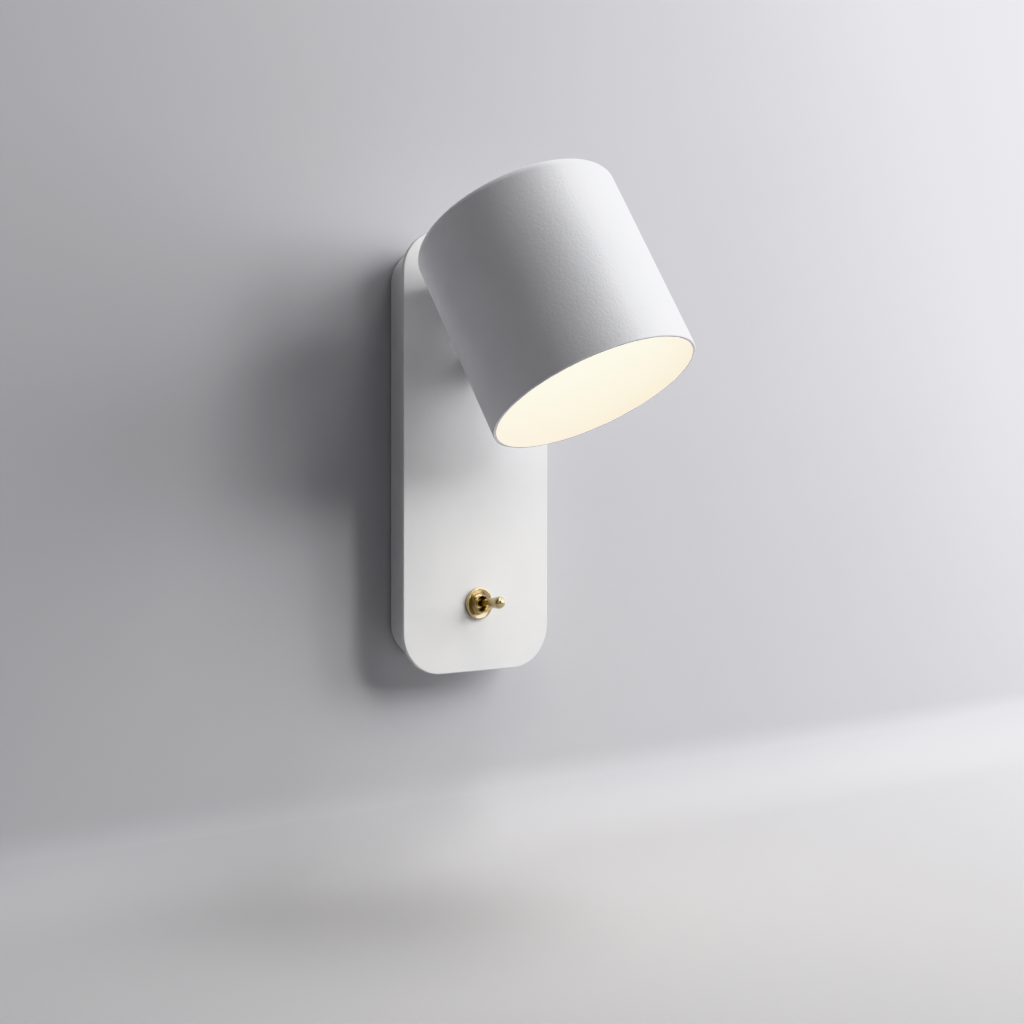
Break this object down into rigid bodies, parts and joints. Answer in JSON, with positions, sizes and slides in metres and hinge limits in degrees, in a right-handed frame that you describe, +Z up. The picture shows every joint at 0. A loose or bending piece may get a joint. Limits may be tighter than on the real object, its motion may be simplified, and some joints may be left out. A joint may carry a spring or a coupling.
{
  "type": "bedside wall reading lamp",
  "caption": "Wall reading lamp: rounded plate on a shallow back box, brass toggle switch, and a cylindrical shade on a knuckle that swivels and tilts.",
  "frame": {"origin": "middle of the face that meets the wall", "axes": "+Z up the wall, +X along the wall to the right as seen from the room, +Y into the wall, so the lamp stands out towards -Y"},
  "size_m": [0.1241, 0.1711, 0.264],
  "materials": {
    "white_powder_coat": "fine sand-texture white powder coat",
    "white_powder_coat_castings": "white powder coat",
    "satin_brass": "satin turned brass",
    "black_foam": "closed-cell foam",
    "black_rubber": "moulded rubber",
    "zinc_steel": "zinc plated",
    "natural_nylon": "unfilled nylon",
    "black_phenolic": "moulded phenolic",
    "tinned_brass": "tinned",
    "white_nylon": "moulded nylon",
    "driver_plastic": "moulded polycarbonate",
    "bare_aluminium": "machined",
    "white_board": "white solder mask on an aluminium core",
    "led_phosphor": "yellow phosphor",
    "opal_diffuser": "satin opal",
    "white_reflector": "high-reflectance white",
    "brown_wire": "PVC insulation",
    "blue_wire": "PVC insulation",
    "white_wire": "PVC sheath"
  },
  "bodies": {
    "wall_body": {"wall_gasket": "black_foam", "back_box": "white_powder_coat", "front_plate": "white_powder_coat", "plate_studs": "zinc_steel", "plate_stud_washers": "zinc_steel", "plate_nuts": "zinc_steel", "wall_bracket": "zinc_steel", "box_grub_screws": "zinc_steel", "supply_grommet": "black_rubber", "cable_clamp": "white_nylon", "cable_clamp_screws": "zinc_steel", "earth_stud": "zinc_steel", "earth_nut": "zinc_steel", "earth_tag": "tinned_brass", "terminal_block": "white_nylon", "terminal_clamp_screws": "tinned_brass", "terminal_block_screws": "zinc_steel", "led_driver": "driver_plastic", "driver_screws": "zinc_steel", "swivel_bush": "natural_nylon", "swivel_stop_pin": "zinc_steel", "toggle_bushing": "satin_brass", "toggle_lock_washer": "satin_brass", "toggle_back_nut": "satin_brass", "toggle_dress_nut": "satin_brass", "toggle_pivot_pin": "zinc_steel", "switch_case": "black_phenolic", "switch_terminals": "tinned_brass", "rocker_pin": "zinc_steel", "switch_feed_lead": "brown_wire", "switched_lead": "brown_wire", "neutral_lead": "blue_wire", "driver_output_lead": "white_wire"},
    "swivel": {"swivel_stem": "white_powder_coat_castings", "stem_thrust_washer": "zinc_steel", "stem_spring_washer": "zinc_steel", "stem_nut": "zinc_steel", "swivel_stop_washer": "zinc_steel", "stem_lock_nut": "zinc_steel"},
    "head": {"shade": "white_powder_coat", "head_knuckle": "white_powder_coat_castings", "hinge_screws": "zinc_steel", "hinge_washers": "natural_nylon", "knuckle_screws": "zinc_steel", "diffuser": "opal_diffuser", "reflector": "white_reflector", "reflector_screws": "zinc_steel", "heat_sink": "bare_aluminium", "shade_studs": "zinc_steel", "heat_sink_spacers": "bare_aluminium", "heat_sink_nuts": "zinc_steel", "heat_sink_washers": "zinc_steel", "led_board": "white_board", "led_board_screws": "zinc_steel", "led_packages": "led_phosphor", "board_connector": "white_nylon", "head_lead": "white_wire"},
    "lever": {"toggle_lever": "satin_brass", "toggle_plunger": "natural_nylon"},
    "rocker": {"contact_rocker": "tinned_brass"}
  },
  "joints": [
    {"name": "head_swivel", "type": "hinge", "parent": "wall_body", "child": "swivel", "pos_m": [0, -0.0361, 0.049], "axis": [0, -1, 0], "range_deg": [-170, 150]},
    {"name": "head_tilt", "type": "hinge", "parent": "swivel", "child": "head", "pos_m": [0, -0.0361, 0.049], "axis": [-0.9848, 0, -0.1736], "range_deg": [-46.6, 0]},
    {"name": "toggle_throw", "type": "hinge", "parent": "wall_body", "child": "lever", "pos_m": [0, -0.0248, -0.0825], "axis": [1, 0, 0], "range_deg": [0, 9]},
    {"name": "rocker_throw", "type": "hinge", "parent": "wall_body", "child": "rocker", "pos_m": [0, -0.0112, -0.0825], "axis": [1, 0, 0], "range_deg": [-7.2, 0]}
  ],
  "couplings": [
    {"joint": "rocker_throw", "follows": "toggle_throw", "ratio": -0.8}
  ]
}
